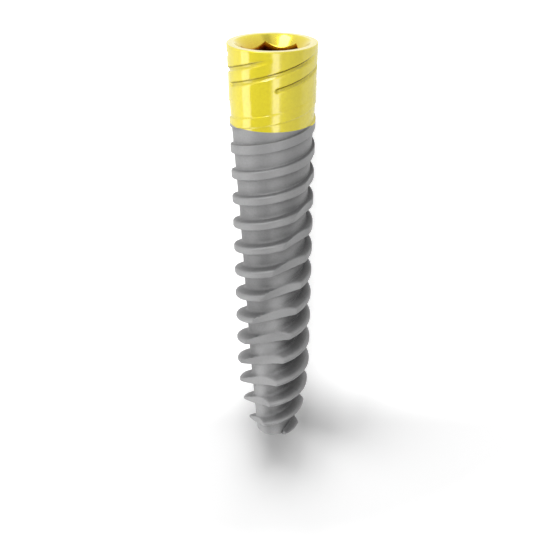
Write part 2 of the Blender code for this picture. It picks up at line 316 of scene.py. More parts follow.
def flute_radius(azimuth, depth):
    """Radius that the nearest flute allows, large where there is none."""
    floor = np.interp(depth, (FLUTE_START_DEPTH, FLUTE_FULL_DEPTH, TOTAL_LENGTH),
                      (FLUTE_START_FLOOR, FLUTE_FULL_FLOOR, FLUTE_TIP_FLOOR))
    centre = floor + FLUTE_CUTTER_RADIUS
    middle = FLUTE_REFERENCE_AZIMUTH + (FLUTE_REFERENCE_DEPTH - depth) / FLUTE_LEAD * FULL_TURN
    spacing = FULL_TURN / FLUTE_COUNT
    away = (azimuth - middle + spacing / 2) % spacing - spacing / 2
    chord = FLUTE_CUTTER_RADIUS ** 2 - (centre * np.sin(away)) ** 2
    radius = centre * np.cos(away) - np.sqrt(np.maximum(chord, 0.0))
    return np.where((chord > 0.0) & (depth > FLUTE_START_DEPTH), radius, 2 * PLATFORM_RADIUS)


def groove_cut(azimuth, depth, groove_width, groove_depth):
    """Depth of the collar's helical grooves: rounded at the low end, fading towards the rim."""
    cut = np.zeros(np.broadcast(azimuth, depth).shape)
    groove_turn = (GROOVE_LOW_DEPTH - GROOVE_HIGH_DEPTH) / GROOVE_LEAD * FULL_TURN
    pitch_angle = math.atan2(GROOVE_LEAD, FULL_TURN * PLATFORM_RADIUS)
    for groove in range(GROOVE_COUNT):
        start = GROOVE_LOW_AZIMUTH + groove * FULL_TURN / GROOVE_COUNT
        turned = (azimuth - start + GROOVE_SEARCH_TURN) % FULL_TURN - GROOVE_SEARCH_TURN
        across = (depth - GROOVE_LOW_DEPTH + turned / FULL_TURN * GROOVE_LEAD) * math.cos(pitch_angle)
        along = turned * PLATFORM_RADIUS / math.cos(pitch_angle)
        before = np.minimum(along, 0.0)
        nearness = 1.0 - (across ** 2 + before ** 2) / (groove_width / 2) ** 2
        fade = np.clip((groove_turn - turned) / GROOVE_FADE_TURN, 0.0, 1.0)
        cut = np.maximum(cut, groove_depth * np.sqrt(np.maximum(nearness, 0.0)) * fade)
    return cut


def surface_radius(azimuth, depth, thread, collar):
    """Radius of the finished outer surface."""
    radius = thread_radius(azimuth, depth, thread.crest_rounding, thread.root_rounding)
    radius = soft_min(radius, flute_radius(azimuth, depth), thread.flute_rounding)
    return radius - groove_cut(azimuth, depth, collar.groove_width, collar.groove_depth)


def ring_azimuths(columns):
    """Azimuths of the mesh columns, of which six fall on the hexagon's corners."""
    return HEX_CORNER_AZIMUTH + np.arange(columns) * FULL_TURN / columns


def polar_points(radius, azimuth, depth):
    """Points of a grid from radius, azimuth and depth, all of one shape."""
    return np.stack((radius * np.cos(azimuth), radius * np.sin(azimuth), -depth), axis=-1)


def ring_faces(index, centre=None):
    """Quads between closed rings of point numbers, with a fan to a centre point after the last ring."""
    following = np.roll(index, -1, axis=1)
    quads = np.stack((index[:-1], index[1:], following[1:], following[:-1]), axis=-1)
    faces = quads.reshape(-1, 4).tolist()
    if centre is not None:
        faces += [[first, centre, second] for first, second in zip(index[-1], following[-1])]
    return faces


def grid_mesh(name, rows, cap_centre=None, inwards=False):
    """Mesh of closed rings of points, with a cap to a centre point after the last ring."""
    points = rows.reshape(-1, 3).tolist()
    index = np.arange(len(points)).reshape(rows.shape[:2])
    faces = ring_faces(index, None if cap_centre is None else len(points))
    if cap_centre is not None:
        points.append(tuple(cap_centre))
    if inwards:
        faces = [face[::-1] for face in faces]
    mesh = bpy.data.meshes.new(name)
    mesh.from_pydata(points, [], faces)
    return mesh


def merge_close(mesh, distance):
    """Merge points that lie together and drop the faces that this leaves without area."""
    work = bmesh.new()
    work.from_mesh(mesh)
    bmesh.ops.remove_doubles(work, verts=work.verts, dist=distance)
    bmesh.ops.dissolve_degenerate(work, edges=work.edges, dist=distance)
    work.to_mesh(mesh)
    work.free()


def place(mesh, material, crease_angle):
    """Object of a mesh, smooth but for its creases, laid in the solid's place on its body."""
    mesh.transform(POSE)
    mesh.materials.append(material)
    mesh.shade_smooth()
    mesh.set_sharp_from_angle(angle=crease_angle)
    piece = bpy.data.objects.new(mesh.name, mesh)
    bpy.context.scene.collection.objects.link(piece)
    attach(piece, "root")
    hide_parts("implant")
    return piece


def valley_rows(number, azimuth, edge_step):
    """Depths of the mesh rows of one valley, from the crest above to just before the next one."""
    crest = crest_depth(number, azimuth)
    upper_edge, upper_root, lower_root, lower_edge = valley_edges(crest)
    lower_edge = np.minimum(lower_edge, crest + CREST_SPACING)
    lower_root = np.clip(lower_root, upper_root, lower_edge)
    step = np.minimum(edge_step, crest_land(crest) / 4)
    rows = [crest, upper_edge - 2 * step, upper_edge - step]
    rows += [upper_edge + (upper_root - upper_edge) * share for share in (0.05, 0.25, 0.5, 0.75, 0.95)]
    floor_start, floor_end = upper_root + step, lower_root - step
    rows += [floor_start + (floor_end - floor_start) * share for share in (0.0, 0.25, 0.5, 0.75, 1.0)]
    rows += [lower_root + (lower_edge - lower_root) * share for share in (0.05, 0.25, 0.5, 0.75, 0.95)]
    rows += [lower_edge + step, lower_edge + 2 * step]
    return np.maximum.accumulate(np.stack(rows), axis=0)


def build_threaded_body(thread, collar, material):
    """Helical grid from the anodised limit to the apex ring, level rings round the apex, and its cap."""
    azimuth = ring_azimuths(thread.columns)
    first = math.floor((ANODISED_DEPTH - FIRST_CREST_DEPTH) / CREST_SPACING) - 2
    last = math.ceil((APEX_RING_DEPTH - FIRST_CREST_DEPTH) / CREST_SPACING) + 3
    valleys = [valley_rows(number, azimuth, thread.crest_rounding / 2) for number in range(first, last)]
    rows_a_turn = THREAD_STARTS * len(valleys[0])
    depth = np.clip(np.concatenate(valleys), ANODISED_DEPTH, APEX_RING_DEPTH)
    count = len(depth)
    level = np.linspace(APEX_RING_DEPTH, TOTAL_LENGTH, thread.apex_rings)[1:, None]
    depth = np.concatenate((depth, np.broadcast_to(level, (len(level), len(azimuth)))))
    turned = np.broadcast_to(azimuth, depth.shape)
    radius = surface_radius(turned, depth, thread, collar)
    points = polar_points(radius, turned, depth).reshape(-1, 3).tolist()
    index = np.arange(len(points)).reshape(depth.shape)

    body, rings = index[:count], index[count - 1:]
    quads = np.stack((body[:-1, :-1], body[1:, :-1], body[1:, 1:], body[:-1, 1:]), axis=-1)
    seam = np.stack((body[rows_a_turn:-1, -1], body[rows_a_turn + 1:, -1],
                     body[1:-rows_a_turn, 0], body[:-rows_a_turn - 1, 0]), axis=-1)
    faces = quads.reshape(-1, 4).tolist() + seam.tolist() + ring_faces(rings, len(points))
    points.append((0.0, 0.0, -TOTAL_LENGTH))
    mesh = bpy.data.meshes.new("threaded_body")
    mesh.from_pydata(points, [], faces)
    merge_close(mesh, MERGE_DISTANCE)
    return place(mesh, material, BODY_CREASE)


def build_collar(thread, collar, material):
    """Level rings from the rim's rounded edge to the anodised limit."""
    azimuth = ring_azimuths(thread.columns)
    edge = np.linspace(0.0, math.pi / 2, 5)
    edge_depth = RIM_CHAMFER * (1.0 - np.cos(edge))
    edge_inset = RIM_CHAMFER * (1.0 - np.sin(edge))
    wall = np.linspace(RIM_CHAMFER, ANODISED_DEPTH, collar.rings)[1:]
    depth = np.concatenate((edge_depth, wall))[:, None]
    inset = np.concatenate((edge_inset, np.zeros(len(wall))))[:, None]
    depth, turned = np.broadcast_arrays(depth, azimuth)
    radius = surface_radius(turned, depth, thread, collar) - inset
    mesh = grid_mesh("anodised_collar", polar_points(radius, turned, depth))
    return place(mesh, material, COLLAR_CREASE)


def hexagon_radius(azimuth):
    """Distance from the axis to the hexagon's wall."""
    side = FULL_TURN / 6
    away = (azimuth - HEX_CORNER_AZIMUTH) % side - side / 2
    return HEX_APOTHEM / np.cos(away)


def build_socket(thread, socket, material):
    """Rim ring, lead-in bevel, hexagon, threaded screw bore and drill point."""
    azimuth = ring_azimuths(thread.columns)
    wall = hexagon_radius(azimuth)
    flat = np.full_like(azimuth, 1.0)
    rounding = socket.edge_rounding
    rim_outer = PLATFORM_RADIUS - RIM_CHAMFER
    rim_inner = BEVEL_RADIUS + rounding
    mouth = (BEVEL_RADIUS - wall) / BEVEL_SLOPE + rounding * MOUTH_EDGE_DROP

    rows = [(flat * rim_outer * (1 - share) + flat * rim_inner * share, 0.0 * flat)
            for share in (0.0, 0.25, 0.6, 0.9)]
    for turn in (0.0, 0.5, 1.0):
        rows.append((flat * (BEVEL_RADIUS + rounding * (1.0 - turn)),
                     flat * rounding * turn ** 2 * BEVEL_EDGE_DROP))
    for share in (0.1, 0.25, 0.5, 0.75, 0.9, 0.97):
        radius = BEVEL_RADIUS + (wall - BEVEL_RADIUS) * share
        drop = np.maximum((BEVEL_RADIUS - radius) / BEVEL_SLOPE, rounding * BEVEL_EDGE_DROP)
        rows.append((radius, drop))
    rows += [(wall, mouth + (HEX_DEPTH - mouth) * share) for share in (0.0, 0.1, 0.3, 0.6, 0.9, 1.0)]
    rows.append((BORE_RADIUS * flat, HEX_DEPTH + (wall - BORE_RADIUS) * HEX_FLOOR_SLOPE))

    thread_start = HEX_DEPTH + PLAIN_BORE_LENGTH
    steps = int((BORE_DEPTH - HEX_DEPTH) / socket.thread_pitch * BORE_RINGS_A_TURN)
    for step in range(1, steps + 1):
        depth = thread_start + (BORE_DEPTH - thread_start) * step / steps
        phase = depth / socket.thread_pitch + azimuth / FULL_TURN
        height = 1.0 - np.abs(2.0 * (phase % 1.0) - 1.0)
        ridge = np.clip(height * BORE_RIDGE_STEEPNESS - BORE_RIDGE_ROOT, 0.0, 1.0)
        fade = min(step / BORE_RINGS_A_TURN, (steps - step) / BORE_RINGS_A_TURN, 1.0)
        rows.append((BORE_RADIUS - socket.thread_height * ridge * fade, depth * flat))
    point_drop = BORE_RADIUS * (1.0 - DRILL_RING_SHARE) / DRILL_POINT_SLOPE
    rows.append((BORE_RADIUS * DRILL_RING_SHARE * flat, flat * (BORE_DEPTH + point_drop)))

    radius, depth = (np.stack(column) for column in zip(*rows))
    turned = np.broadcast_to(azimuth, radius.shape)
    centre = (0.0, 0.0, -(BORE_DEPTH + BORE_RADIUS / DRILL_POINT_SLOPE))
    mesh = grid_mesh("abutment_socket", polar_points(radius, turned, depth), cap_centre=centre,
                     inwards=True)
    return place(mesh, material, SOCKET_CREASE)


def new_group(name, inputs, outputs):
    """Shader node group with its sockets, and its input and output nodes."""
    group = bpy.data.node_groups.new(name, "ShaderNodeTree")
    for label, kind, default in inputs:
        socket = group.interface.new_socket(name=label, in_out="INPUT", socket_type=kind)
        socket.default_value = default
    for label, kind in outputs:
        group.interface.new_socket(name=label, in_out="OUTPUT", socket_type=kind)
    return group, group.nodes.new("NodeGroupInput"), group.nodes.new("NodeGroupOutput")


def new_node(tree, kind, settings=None, values=None):
    """Node with its settings and the unlinked values of its sockets."""
    node = tree.nodes.new(kind)
    for key, value in (settings or {}).items():
        setattr(node, key, value)
    for key, value in (values or {}).items():
        node.inputs[key].default_value = value
    return node


def feed(tree, node, values):
    """Give each named socket of a node a plain value, or link the output that stands for it."""
    for key, value in values.items():
        if isinstance(value, bpy.types.NodeSocket):
            tree.links.new(value, node.inputs[key])
        else:
            node.inputs[key].default_value = value


def maths(tree, operation, first, second, use_clamp=False):
    """Output of a Math node on two numbers or outputs."""
    node = new_node(tree, "ShaderNodeMath", {"operation": operation, "use_clamp": use_clamp})
    feed(tree, node, {0: first, 1: second})
    return node.outputs[0]


def ramp(tree, value, start, end, low=0.0, high=1.0, smooth=False):
    """Output that goes from low to high as value goes from start to end."""
    kind = "SMOOTHSTEP" if smooth else "LINEAR"
    node = new_node(tree, "ShaderNodeMapRange", {"interpolation_type": kind})
    feed(tree, node, {"Value": value, "From Min": start, "From Max": end, "To Min": low, "To Max": high})
    return node.outputs["Result"]


def blend(tree, share, first, second, data_type="RGBA"):
    """Output that is first where share is 0 and second where it is 1."""
    node = new_node(tree, "ShaderNodeMix", {"data_type": data_type})
    feed(tree, node, {"Factor": share, "A": first, "B": second})
    return node.outputs["Result"]


def noise(tree, place_in, scale, roughness):
    """Output of a noise of two octaves."""
    node = new_node(tree, "ShaderNodeTexNoise")
    feed(tree, node, {"Vector": place_in, "Scale": scale, "Detail": 2.0, "Roughness": roughness})
    return node.outputs["Fac"]


def split(tree, vector):
    """Outputs of a vector's three parts."""
    node = new_node(tree, "ShaderNodeSeparateXYZ")
    tree.links.new(vector, node.inputs["Vector"])
    return node.outputs


def grain_group():
    """Blasted grain: two sizes of noise, as a height and as a speckle mask."""
    group, inside, outside = new_group("surface_grain", [
        ("Grains per Metre", "NodeSocketFloat", 16000.0),
        ("Coarse Share", "NodeSocketFloat", 0.3),
    ], [("Height", "NodeSocketFloat"), ("Speckle", "NodeSocketFloat")])
    given = inside.outputs
    place_in = new_node(group, "ShaderNodeTexCoord").outputs["Object"]
    coarse_scale = maths(group, "MULTIPLY", given["Grains per Metre"], COARSE_GRAIN_SCALE)
    fine = noise(group, place_in, given["Grains per Metre"], 0.6)
    coarse = noise(group, place_in, coarse_scale, 0.5)
    height = blend(group, given["Coarse Share"], fine, coarse, "FLOAT")
    feed(group, outside, {"Height": height, "Speckle": ramp(group, height, *SPECKLE_HEIGHT)})
    return group


def painted_light_group():
    """Colour that is lighter on grains, lighter on open crests as a painted highlight, and darker with
    painted shade in hollows and on near undersides.

    The painted shade's share differs between the side that faces +X and the other. Undersides are walls that
    face the apex, and count only between the platform and the place given.
    """
    group, inside, outside = new_group("grain_and_painted_light", [
        ("Surface", "NodeSocketColor", (0.5, 0.5, 0.5, 1.0)),
        # Lighter colour of single grains, also laid on open crests as a painted highlight.
        ("Grain", "NodeSocketColor", (0.8, 0.8, 0.8, 1.0)),
        # Painted shade: the colour laid into hollows and on walls that face the apex.
        ("Painted Shade", "NodeSocketColor", (0.2, 0.2, 0.2, 1.0)),
        ("Speckle", "NodeSocketFloat", 0.5),
        ("Reach", "NodeSocketFloat", 0.0003),
        ("Onset", "NodeSocketFloat", 0.86),
        ("Left Share", "NodeSocketFloat", 1.0),
        ("Right Share", "NodeSocketFloat", 1.0),
        ("Painted Underside Shade", "NodeSocketFloat", 0.0),
        ("Underside Start", "NodeSocketFloat", 0.006),
        ("Grain Share", "NodeSocketFloat", 0.0),
        ("Crest Share", "NodeSocketFloat", 0.0),
    ], [("Color", "NodeSocketColor"), ("Open Share", "NodeSocketFloat")])
    given = inside.outputs
    shape = new_node(group, "ShaderNodeNewGeometry").outputs
    facing, place_in = split(group, shape["Normal"]), split(group, shape["Position"])
    around = new_node(group, "ShaderNodeAmbientOcclusion", {"samples": OPENNESS_SAMPLES, "only_local": True})
    feed(group, around, {"Distance": given["Reach"]})
    openness = around.outputs["AO"]

    # Painted shade in hollows: darker where ambient occlusion finds metal near by.
    hollow = ramp(group, openness, given["Onset"], PAINTED_SHADE_FULL_OPENNESS)
    # Painted shade on walls that face the apex, between the platform and the given place, where metal is near
    # by.
    faces_apex = ramp(group, facing["Y"], *PAINTED_UNDERSIDE_FACING)
    on_collar = maths(group, "GREATER_THAN", place_in["Y"], given["Underside Start"])
    faces_apex_there = maths(group, "MULTIPLY", faces_apex, on_collar)
    hemmed_in = ramp(group, openness, *PAINTED_UNDERSIDE_OPENNESS)
    painted_underside_shade = maths(group, "MULTIPLY", maths(group, "MULTIPLY", faces_apex_there, hemmed_in),
                      given["Painted Underside Shade"])
    # The painted shade is stronger on the side that faces +X than on the other.
    painted_side_shade = ramp(group, facing["X"], *PAINTED_SHADE_SIDE_FACING, given["Left Share"], given["Right Share"])
    painted_shade_darkest = maths(group, "MAXIMUM", hollow, painted_underside_shade)
    painted_shade_share = maths(group, "MULTIPLY", painted_shade_darkest, painted_side_shade, use_clamp=True)

    grain = maths(group, "MULTIPLY", given["Speckle"], given["Grain Share"])
    # Painted highlight: open crests take the lighter grain colour.
    crest = ramp(group, openness, *PAINTED_HIGHLIGHT_OPENNESS, high=given["Crest Share"])
    with_grain = blend(group, grain, given["Surface"], given["Grain"])
    with_painted_highlight = blend(group, crest, with_grain, given["Grain"])
    # The colour takes the painted shade, and the film is thinned by the same share.
    feed(group, outside, {"Color": blend(group, painted_shade_share, with_painted_highlight, given["Painted Shade"]),
                          "Open Share": maths(group, "SUBTRACT", 1.0, painted_shade_share)})
    return group


def shared_group(name, build):
    """The node group of that name, built the first time."""
    return bpy.data.node_groups.get(name) or build()


def metal_material(name, finish):
    """Metal whose grain, painted shade and highlight, and film come from the shared groups."""
    material = bpy.data.materials.new(name)
    material.use_nodes = True
    tree = material.node_tree
    shader = tree.nodes["Principled BSDF"]
    grain = new_node(tree, "ShaderNodeGroup", {"node_tree": shared_group("surface_grain", grain_group)})
    feed(tree, grain, {"Grains per Metre": finish.grains_per_metre})
    speckle = grain.outputs["Speckle"]
    painted_light_tone = new_node(tree, "ShaderNodeGroup", {"node_tree": shared_group("grain_and_painted_light", painted_light_group)})
    feed(tree, painted_light_tone, {
        "Surface": (*finish.colour, 1.0),
        "Grain": (*finish.grain_and_painted_highlight_colour, 1.0),
        "Painted Shade": (*finish.painted_shade_colour, 1.0),
        "Speckle": speckle,
        "Reach": finish.painted_shade_reach,
        "Onset": finish.painted_shade_onset,
        "Left Share": finish.painted_shade_left,
        "Right Share": finish.painted_shade_right,
        "Painted Underside Shade": finish.painted_underside_shade,
        "Underside Start": (POSE @ Vector((0.0, 0.0, -finish.painted_underside_depth))).y,
        "Grain Share": finish.grain_share,
        "Crest Share": finish.painted_crest_highlight,
    })
    bump = new_node(tree, "ShaderNodeBump")
    feed(tree, bump, {"Strength": finish.grain_strength, "Distance": finish.grain_height,
                      "Height": grain.outputs["Height"]})
    feed(tree, shader, {
        "Base Color": painted_light_tone.outputs["Color"],
        "Metallic": 1.0,
        "Roughness": ramp(tree, speckle, 0.0, 1.0, finish.roughness * (1.0 - ROUGHNESS_SPREAD),
                          finish.roughness * (1.0 + ROUGHNESS_SPREAD)),
        # The film is thinner under the painted shade.
        "Coat Weight": maths(tree, "MULTIPLY", painted_light_tone.outputs["Open Share"], finish.coat),
        "Coat Roughness": finish.coat_roughness,
        "Coat IOR": finish.coat_index,
        "Normal": bump.outputs["Normal"],
    })
    return material


def card_material(name, strength):
    """Plain emission for a studio card."""
    material = bpy.data.materials.new(name)
    material.use_nodes = True
    tree = material.node_tree
    tree.nodes.remove(tree.nodes["Principled BSDF"])
    glow = new_node(tree, "ShaderNodeEmission", values={"Strength": strength})
    tree.links.new(glow.outputs["Emission"], tree.nodes["Material Output"].inputs["Surface"])
    return material


def seen_rays(tree):
    """Two outputs: 1 for rays from the camera, and 1 for rays in reflections and through glass."""
    path = new_node(tree, "ShaderNodeLightPath").outputs
    return path["Is Camera Ray"], maths(tree, "MAXIMUM", path["Is Glossy Ray"], path["Is Transmission Ray"])


def floor_material(stage):
    """Pale matt floor with painted light added beside the body, where it washes out the body's shadow, and
    whiteness far off, for the eye and in reflections.
    """
    material = bpy.data.materials.new("floor_white")
    material.use_nodes = True
    tree = material.node_tree
    shader = tree.nodes["Principled BSDF"]
    feed(tree, shader, {"Base Color": (*stage.floor_colour, 1.0), "Roughness": FLOOR_ROUGHNESS,
                        "Specular IOR Level": 0.0})
    place_in = new_node(tree, "ShaderNodeTexCoord").outputs["Object"]
    distance = new_node(tree, "ShaderNodeVectorMath", {"operation": "LENGTH"})
    tree.links.new(place_in, distance.inputs[0])
    low_end = cad_box[0][1]
    # Painted light beside the body, which hides its shadow there; it fades out towards the apex.
    beside = ramp(tree, split(tree, place_in)["Y"], low_end + stage.lift_start, low_end + stage.lift_end,
                  high=stage.painted_floor_light, smooth=True)
    far_off = ramp(tree, distance.outputs["Value"], stage.far_start, stage.far_end, smooth=True)
    lift = maths(tree, "MAXIMUM", beside, far_off)
    seen, reflected = seen_rays(tree)

    glow = new_node(tree, "ShaderNodeEmission")
    feed(tree, glow, {"Strength": maths(tree, "MULTIPLY", seen, lift)})
    lit = new_node(tree, "ShaderNodeAddShader")
    feed(tree, lit, {0: shader.outputs["BSDF"], 1: glow.outputs["Emission"]})
    white = new_node(tree, "ShaderNodeEmission")
    shown = new_node(tree, "ShaderNodeMixShader")
    feed(tree, shown, {0: maths(tree, "MULTIPLY", reflected, lift), 1: lit.outputs["Shader"],
                       2: white.outputs["Emission"]})
    feed(tree, tree.nodes["Material Output"], {"Surface": shown.outputs["Shader"]})
    return material


def build_world():
    """World that is white to the camera and in reflections, and gives no light elsewhere."""
    world = bpy.data.worlds.new("studio")
    bpy.context.scene.world = world
    world.use_nodes = True
    tree = world.node_tree
    feed(tree, tree.nodes["Background"], {"Color": (1.0, 1.0, 1.0, 1.0),
                                          "Strength": maths(tree, "MAXIMUM", *seen_rays(tree))})


def stage_object(name, data):
    """Object of the stage, linked to the scene."""
    piece = bpy.data.objects.new(name, data)
    bpy.context.scene.collection.objects.link(piece)
    return piece


def box_middle():
    """Middle of the solid's box."""
    low, high = (Vector(corner) for corner in cad_box)
    return (low + high) / 2


def sheet_object(name, points, faces, material):
    """Object of the stage with a mesh of its own."""
    mesh = bpy.data.meshes.new(name)
    mesh.from_pydata(points, [], faces)
    mesh.materials.append(material)
    return stage_object(name, mesh)


def build_card(name, points, faces, strength):
    """Bright card of the stage, seen only in reflections."""
    card = sheet_object(name, points, faces, card_material(name, strength))
    card.visible_camera = False
    card.visible_diffuse = False
    card.visible_shadow = False


def rectangle(width, height):
    """Corners of a rectangle round the origin."""
    x, y = width / 2, height / 2
    return (-x, -y), (x, -y), (x, y), (-x, y)


def build_floor(stage):
    """Floor plane at the height that the implant rests on."""
    middle = box_middle()
    corners = [(middle.x + x, middle.y + y, cad_box[0][2])
               for x, y in rectangle(stage.floor_size, stage.floor_size)]
    floor = sheet_object("floor", corners, [(0, 1, 2, 3)], floor_material(stage))


def build_bent_card(name, start, end, strength):
    """Card bent over the implant, between two angles from the right horizon."""
    middle = box_middle()
    points = []
    for step in range(BENT_CARD_STEPS + 1):
        angle = math.radians(start + (end - start) * step / BENT_CARD_STEPS)
        across = BENT_CARD_RADIUS * math.cos(angle)
        rise = BENT_CARD_RADIUS * math.sin(angle)
        points += [(middle.x + across, middle.y + along, middle.z + rise) for along in BENT_CARD_ENDS]
    faces = [(2 * step, 2 * step + 1, 2 * step + 3, 2 * step + 2) for step in range(BENT_CARD_STEPS)]
    build_card(name, points, faces, strength)


def build_flat_card(name, direction, distance, width, height, strength):
    """Flat card that faces the platform from its open side."""
    toward = Vector(direction).normalized()
    across = Vector((0.0, 0.0, 1.0)).cross(toward).normalized()
    rise = toward.cross(across)
    middle = box_middle()
    centre = Vector((middle.x, cad_box[1][1], middle.z)) + toward * distance
    corners = [centre + across * x + rise * y for x, y in rectangle(width, height)]
    build_card(name, corners, [(0, 1, 2, 3)], strength)


def build_lamp(name, direction, distance, length, width, energy):
    """Rectangular lamp that faces the implant's middle, with its length along the implant."""
    data = bpy.data.lights.new(name, "AREA")
    data.shape = "RECTANGLE"
    data.size = length
    data.size_y = width
    data.energy = energy
    lamp = stage_object(name, data)
    toward = Vector(direction).normalized()
    along = (Vector((0.0, 1.0, 0.0)) - toward * toward.y).normalized()
    turn = Matrix((along, toward.cross(along), toward)).transposed().to_4x4()
    lamp.matrix_world = Matrix.Translation(box_middle() + toward * distance) @ turn
    return lamp


def build_camera():
    """Camera at the photograph's place, held in the implant's own upright frame."""
    unit = PLATFORM_RADIUS
    forward = Vector((0.0, math.cos(CAMERA_PITCH), -math.sin(CAMERA_PITCH)))
    up = Vector((0.0, math.sin(CAMERA_PITCH), math.cos(CAMERA_PITCH)))
    right = Vector((1.0, 0.0, 0.0))
    eye = (Vector((CAMERA_SIDE, 0.0, CAMERA_AIM_HEIGHT)) - CAMERA_DISTANCE * forward) * unit
    data = bpy.data.cameras.new("camera")
    data.sensor_width = SENSOR_WIDTH
    data.lens = FOCAL_PIXELS * SENSOR_WIDTH / PHOTO_SIZE
    data.clip_start = 0.001
    camera = stage_object("camera", data)
    local = Matrix((right, up, -forward)).transposed().to_4x4()
    local.translation = eye
    camera.matrix_world = POSE @ local
    bpy.context.scene.camera = camera


class FinishSettings(bpy.types.PropertyGroup):
    """Looks of one metal finish. The defaults are the blasted thread's."""

    colour: FloatVectorProperty(name="Colour", description="Reflected colour", size=3, subtype="COLOR",
                                min=0.0, max=1.0, default=(0.138, 0.138, 0.141))
    # The grain colour is also the painted highlight on open crests.
    grain_and_painted_highlight_colour: FloatVectorProperty(name="Grain and Painted Highlight Colour", description="Colour of the lighter grains", size=3,
                                      subtype="COLOR", min=0.0, max=1.0, default=(0.55, 0.55, 0.55))
    # The following settings give the painted shade in hollows and its share on each side.
    painted_shade_colour: FloatVectorProperty(name="Hollow Colour", description="Colour in hollows", size=3,
                                       subtype="COLOR", min=0.0, max=1.0, default=(0.036, 0.036, 0.037))
    painted_shade_reach: FloatProperty(name="Hollow Reach", description="How far metal near by darkens a hollow",
                                subtype="DISTANCE", unit="LENGTH", min=1e-6, default=0.0007)
    painted_shade_onset: FloatProperty(name="Hollow Onset", description="Openness below which a hollow gets darker",
                                subtype="FACTOR", min=0.4, max=1.0, default=0.95)
    # Share of the painted shade on the side away from +X, and on the side that faces +X.
    painted_shade_left: FloatProperty(name="Hollow Left", description="Share of the hollow colour on the left side",
                               min=0.0, default=0.55)
    painted_shade_right: FloatProperty(name="Hollow Right", min=0.0, default=1.9,
                                description="Share of the hollow colour on the right side")
    grain_share: FloatProperty(name="Grain Share", description="Share of the grain colour on single grains",
                               subtype="FACTOR", min=0.0, max=1.0, default=0.34)
    # Painted highlight on open crests.
    painted_crest_highlight: FloatProperty(name="Crest Share", description="Share of the grain colour on open crests",
                               subtype="FACTOR", min=0.0, max=1.0, default=0.19)
    # Painted shade on walls that face the apex, down to the given depth.
    painted_underside_shade: FloatProperty(name="Painted Underside Shade", description="Darkening of walls that face the apex",
                             subtype="FACTOR", min=0.0, max=1.0, default=0.0)
    painted_underside_depth: FloatProperty(name="Underside Depth", description="Depth at which that darkening ends",
                                   subtype="DISTANCE", unit="LENGTH", default=0.00165)
    roughness: FloatProperty(name="Roughness", description="Spread of the reflections", subtype="FACTOR",
                             min=0.0, max=1.0, default=0.8)
    coat: FloatProperty(name="Film", description="Clear oxide film over the metal", subtype="FACTOR",
                        min=0.0, max=1.0, default=1.0)
    coat_index: FloatProperty(name="Film Index", description="Refractive index of the film",
                              min=1.0, max=4.0, default=2.3)
    coat_roughness: FloatProperty(name="Film Roughness", description="Spread of the film's reflections",
                                  subtype="FACTOR", min=0.0, max=1.0, default=0.56)
    grains_per_metre: FloatProperty(name="Grains per Metre", description="Fineness of the grain",
                                    min=0.0, default=16000.0)
    grain_height: FloatProperty(name="Grain Height", description="Height of the grain", subtype="DISTANCE",
                                unit="LENGTH", min=0.0, default=0.00001)
    grain_strength: FloatProperty(name="Grain Strength", description="Share of the grain that shows",
                                  subtype="FACTOR", min=0.0, max=1.0, default=0.6)


class ThreadSettings(bpy.types.PropertyGroup):
    """Fine shape of the threaded body."""

    columns: IntProperty(name="Columns", description="Mesh columns in one turn, a multiple of six",
                         min=48, default=264)
    apex_rings: IntProperty(name="Apex Rings", description="Level rings round the apex", min=3, default=14)
    crest_rounding: FloatProperty(name="Crest Rounding", description="Rounding of the ridge's edges",
                                  subtype="DISTANCE", unit="LENGTH", min=1e-6, default=0.00009)
    root_rounding: FloatProperty(name="Root Rounding", description="Rounding at the foot of the flanks",
                                 subtype="DISTANCE", unit="LENGTH", min=1e-6, default=0.00014)
    flute_rounding: FloatProperty(name="Flute Rounding", description="Rounding of the flutes' edges",
                                  subtype="DISTANCE", unit="LENGTH", min=1e-6, default=0.00006)


class CollarSettings(bpy.types.PropertyGroup):
    """Fine shape of the collar."""

    rings: IntProperty(name="Rings", description="Level rings down the collar", min=8, default=120)
    groove_width: FloatProperty(name="Groove Width", description="Width of the helical grooves",
                                subtype="DISTANCE", unit="LENGTH", min=1e-6, default=0.00016)
    groove_depth: FloatProperty(name="Groove Depth", description="Depth of the helical grooves",
                                subtype="DISTANCE", unit="LENGTH", min=0.0, default=0.00007)


class SocketSettings(bpy.types.PropertyGroup):
    """Fine shape of the socket."""

    edge_rounding: FloatProperty(name="Edge Rounding", description="Rounding of the bevel's edges",
                                 subtype="DISTANCE", unit="LENGTH", min=1e-6, default=0.00002)
    thread_pitch: FloatProperty(name="Bore Thread Pitch", description="Pitch of the screw bore's thread",
                                subtype="DISTANCE", unit="LENGTH", min=1e-5, default=0.00035)
    thread_height: FloatProperty(name="Bore Thread Height", description="Height of the screw bore's thread",
                                 subtype="DISTANCE", unit="LENGTH", min=0.0, default=0.00010)


